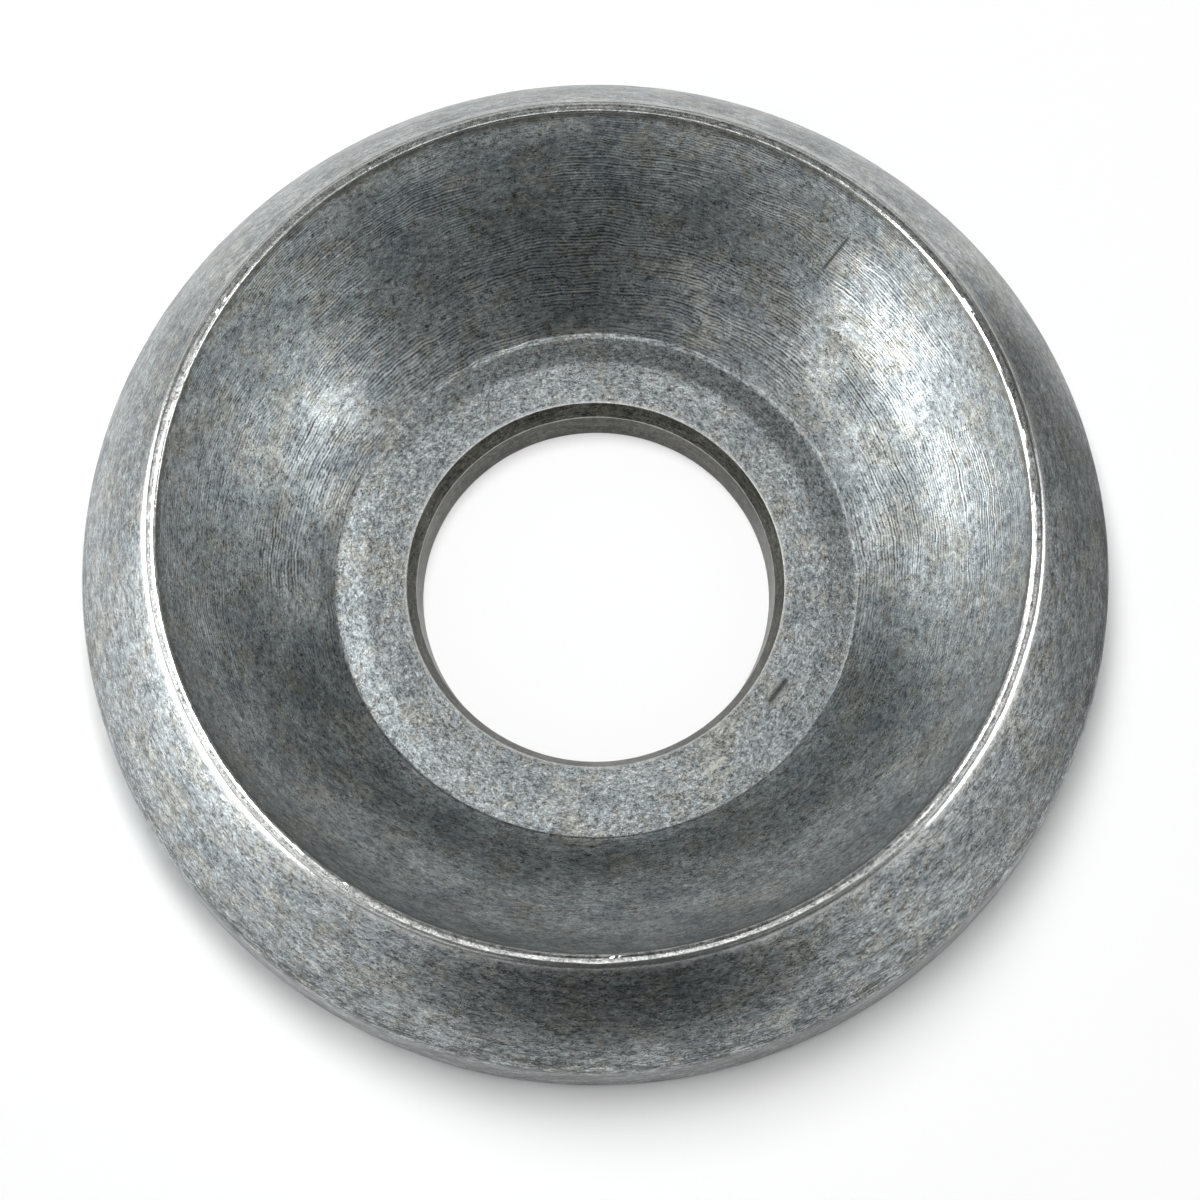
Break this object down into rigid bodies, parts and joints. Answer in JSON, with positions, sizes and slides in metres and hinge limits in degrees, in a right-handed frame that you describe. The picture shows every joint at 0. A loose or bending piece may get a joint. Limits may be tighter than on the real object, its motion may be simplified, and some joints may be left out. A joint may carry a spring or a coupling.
{
  "type": "spherical washer",
  "caption": "Round spherical washer: a turned ring with a hollow spherical bowl, a flat seat at its foot and a plain through bore, lying on a flat base.",
  "frame": {"origin": "centre of the base face, on the axis of the bore", "axes": "+Z along the bore axis, from the base face up to the rim of the bowl; the ring is the same all round, so +X and +Y are any two directions at right angles in the base plane"},
  "size_m": [0.042, 0.042, 0.0105],
  "materials": {
    "zinc_steel": "zinc-coated turned steel: mottled blue-grey coating, fine turning rings in the bowl, a rubbed bright rim and short random scratches"
  },
  "bodies": {
    "root": {"washer_body": "zinc_steel"}
  },
  "joints": []
}
